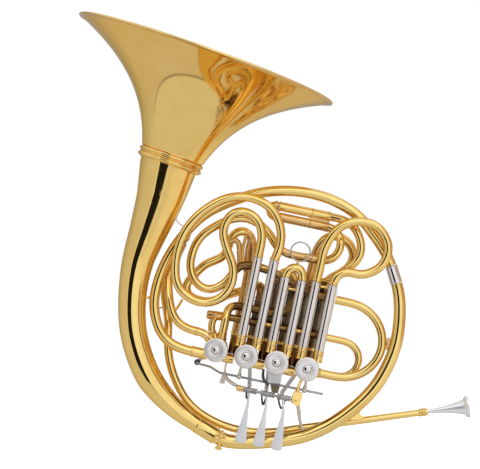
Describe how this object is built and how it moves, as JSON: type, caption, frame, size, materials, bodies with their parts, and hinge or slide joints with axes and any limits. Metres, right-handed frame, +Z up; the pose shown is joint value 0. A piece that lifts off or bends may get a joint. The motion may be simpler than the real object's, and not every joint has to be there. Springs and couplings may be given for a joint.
{
  "type": "french horn",
  "caption": "Double french horn with a wide flared screw bell, coiled lacquered tubing, rotary valves with slides, finger and thumb keys, and a silver mouthpiece.",
  "frame": {"origin": "on the middle of the body tube's lowest curve, where the left hand takes hold", "axes": "+Z up towards the bell's mouth, +X towards the mouthpiece, -Y towards the viewer of the valve side"},
  "size_m": [0.4548, 0.311, 0.5066],
  "materials": {
    "lacquered_brass": "polished yellow brass under clear lacquer",
    "nickel_silver": "polished nickel silver, warm grey",
    "silver_plate": "polished silver plate",
    "steel": "burnished steel"
  },
  "bodies": {
    "horn": {"tail_collar": "lacquered_brass", "bell_tail": "lacquered_brass", "first_branch": "lacquered_brass", "second_branch": "lacquered_brass", "tail_ferrule": "lacquered_brass", "leadpipe": "lacquered_brass", "mouthpiece_receiver": "lacquered_brass", "neck_tube": "lacquered_brass", "valve_casing_1": "lacquered_brass", "valve_casing_2": "lacquered_brass", "valve_casing_3": "lacquered_brass", "valve_casing_4": "lacquered_brass", "f_tuning_sleeves": "lacquered_brass", "f_loop": "lacquered_brass", "f_bow": "lacquered_brass", "f_return": "lacquered_brass", "b_flat_loop": "lacquered_brass", "key_post_left": "lacquered_brass", "branch_ferrule": "nickel_silver", "main_slide_sleeves": "nickel_silver", "valve_cap_1": "nickel_silver", "valve_cap_2": "nickel_silver", "valve_cap_3": "nickel_silver", "valve_cap_4": "nickel_silver", "f_sleeves_1": "nickel_silver", "f_sleeves_2": "nickel_silver", "f_sleeves_3": "nickel_silver", "b_flat_sleeves_1": "nickel_silver", "b_flat_sleeves_2": "nickel_silver", "b_flat_sleeves_3": "nickel_silver", "finger_hook": "nickel_silver", "key_shaft": "steel"},
    "bell": {"bell_flare": "lacquered_brass", "flare_collar": "lacquered_brass"},
    "mouthpiece": {"mouthpiece": "silver_plate"},
    "main_tuning_slide": {"main_tuning_crook": "lacquered_brass"},
    "f_tuning_slide": {"f_tuning_crook": "lacquered_brass"},
    "valve_1": {"rotor_1": "nickel_silver", "stop_arm_1": "nickel_silver"},
    "valve_2": {"rotor_2": "nickel_silver", "stop_arm_2": "nickel_silver"},
    "valve_3": {"rotor_3": "nickel_silver", "stop_arm_3": "nickel_silver"},
    "valve_4": {"rotor_4": "nickel_silver", "stop_arm_4": "nickel_silver"},
    "f_slide_1": {"f_crook_1": "lacquered_brass"},
    "b_flat_slide_1": {"b_flat_crook_1": "lacquered_brass"},
    "key_1": {"finger_key_1": "nickel_silver"},
    "link_1": {"key_link_1": "steel"},
    "f_slide_2": {"f_crook_2": "lacquered_brass"},
    "b_flat_slide_2": {"b_flat_crook_2": "lacquered_brass"},
    "key_2": {"finger_key_2": "nickel_silver"},
    "link_2": {"key_link_2": "steel"},
    "f_slide_3": {"f_crook_3": "lacquered_brass"},
    "b_flat_slide_3": {"b_flat_crook_3": "lacquered_brass"},
    "key_3": {"finger_key_3": "nickel_silver"},
    "link_3": {"key_link_3": "steel"},
    "thumb_key": {"thumb_lever": "nickel_silver"},
    "thumb_rod_link": {"thumb_link": "steel"},
    "spit_key": {"water_key": "nickel_silver"}
  },
  "joints": [
    {"name": "bell_turn", "type": "hinge", "parent": "horn", "child": "bell", "pos_m": [-0.14805, 0, 0.32761], "axis": [0.3338, 0, 0.9426], "range_deg": [0, 900]},
    {"name": "mouthpiece_pull", "type": "slide", "parent": "horn", "child": "mouthpiece", "axis": [0.9915, 0, 0.1298], "range_m": [0, 0.007]},
    {"name": "main_tuning_pull", "type": "slide", "parent": "horn", "child": "main_tuning_slide", "axis": [0.4202, 0, 0.9074], "range_m": [0, 0.018]},
    {"name": "f_tuning_pull", "type": "slide", "parent": "horn", "child": "f_tuning_slide", "axis": [-0.9789, 0, 0.2045], "range_m": [0, 0.026]},
    {"name": "f_slide_1_pull", "type": "slide", "parent": "horn", "child": "f_slide_1", "axis": [0.2045, 0, 0.9789], "range_m": [0, 0.02]},
    {"name": "b_flat_slide_1_pull", "type": "slide", "parent": "horn", "child": "b_flat_slide_1", "axis": [0.2045, 0, 0.9789], "range_m": [0, 0.02]},
    {"name": "f_slide_2_pull", "type": "slide", "parent": "horn", "child": "f_slide_2", "axis": [0.2045, 0, 0.9789], "range_m": [0, 0.02]},
    {"name": "b_flat_slide_2_pull", "type": "slide", "parent": "horn", "child": "b_flat_slide_2", "axis": [0.2045, 0, 0.9789], "range_m": [0, 0.02]},
    {"name": "f_slide_3_pull", "type": "slide", "parent": "horn", "child": "f_slide_3", "axis": [0.2045, 0, 0.9789], "range_m": [0, 0.02]},
    {"name": "b_flat_slide_3_pull", "type": "slide", "parent": "horn", "child": "b_flat_slide_3", "axis": [0.2045, 0, 0.9789], "range_m": [0, 0.02]},
    {"name": "key_1_press", "type": "hinge", "parent": "horn", "child": "key_1", "pos_m": [-0.05844, -0.03, 0.05631], "axis": [0.9789, 0, -0.2045], "range_deg": [0, 10], "stiffness_Nm_per_rad": 0.35, "springref_deg": -8.59},
    {"name": "key_link_1_swing", "type": "hinge", "parent": "key_1", "child": "link_1", "pos_m": [-0.05844, 0.0422, 0.05631], "axis": [0.9789, 0, -0.2045], "range_deg": [-10, 0]},
    {"name": "key_2_press", "type": "hinge", "parent": "horn", "child": "key_2", "pos_m": [-0.03837, -0.03, 0.05212], "axis": [0.9789, 0, -0.2045], "range_deg": [0, 10], "stiffness_Nm_per_rad": 0.35, "springref_deg": -8.59},
    {"name": "key_link_2_swing", "type": "hinge", "parent": "key_2", "child": "link_2", "pos_m": [-0.03837, 0.0422, 0.05212], "axis": [0.9789, 0, -0.2045], "range_deg": [-10, 0]},
    {"name": "key_3_press", "type": "hinge", "parent": "horn", "child": "key_3", "pos_m": [-0.01977, -0.03, 0.04823], "axis": [0.9789, 0, -0.2045], "range_deg": [0, 10], "stiffness_Nm_per_rad": 0.35, "springref_deg": -8.59},
    {"name": "key_link_3_swing", "type": "hinge", "parent": "key_3", "child": "link_3", "pos_m": [-0.01977, 0.0422, 0.04823], "axis": [0.9789, 0, -0.2045], "range_deg": [-10, 0]},
    {"name": "thumb_press", "type": "hinge", "parent": "horn", "child": "thumb_key", "pos_m": [-0.09329, -0.01, 0.07534], "axis": [0.9789, 0, -0.2045], "range_deg": [0, 13.8], "stiffness_Nm_per_rad": 0.35, "springref_deg": -8.59},
    {"name": "thumb_link_swing", "type": "hinge", "parent": "thumb_key", "child": "thumb_rod_link", "pos_m": [-0.11998, 0.0422, 0.08449], "axis": [0.9789, 0, -0.2045], "range_deg": [-13.8, 0]},
    {"name": "rotor_1_turn", "type": "hinge", "parent": "horn", "child": "valve_1", "pos_m": [-0.09742, 0, 0.10225], "axis": [0, 1, 0], "range_deg": [0, 90]},
    {"name": "rotor_2_turn", "type": "hinge", "parent": "horn", "child": "valve_2", "pos_m": [-0.06247, 0, 0.09495], "axis": [0, -1, 0], "range_deg": [0, 90]},
    {"name": "rotor_3_turn", "type": "hinge", "parent": "horn", "child": "valve_3", "pos_m": [-0.02753, 0, 0.08765], "axis": [0, 1, 0], "range_deg": [0, 90]},
    {"name": "rotor_4_turn", "type": "hinge", "parent": "horn", "child": "valve_4", "pos_m": [0.00742, 0, 0.08035], "axis": [0, 1, 0], "range_deg": [0, 90]},
    {"name": "water_key_press", "type": "hinge", "parent": "horn", "child": "spit_key", "pos_m": [-0.09133, -0.0132, 0.00252], "axis": [-0.9743, 0, 0.2251], "range_deg": [0, 25], "stiffness_Nm_per_rad": 0.1, "springref_deg": -17.19}
  ],
  "couplings": [
    {"joint": "key_link_1_swing", "follows": "key_1_press", "ratio": -1},
    {"joint": "key_link_2_swing", "follows": "key_2_press", "ratio": -1},
    {"joint": "key_link_3_swing", "follows": "key_3_press", "ratio": -1},
    {"joint": "thumb_link_swing", "follows": "thumb_press", "ratio": -1},
    {"joint": "rotor_1_turn", "follows": "thumb_press", "ratio": 6.52},
    {"joint": "rotor_2_turn", "follows": "key_1_press", "ratio": 9},
    {"joint": "rotor_3_turn", "follows": "key_2_press", "ratio": 9},
    {"joint": "rotor_4_turn", "follows": "key_3_press", "ratio": 9}
  ]
}
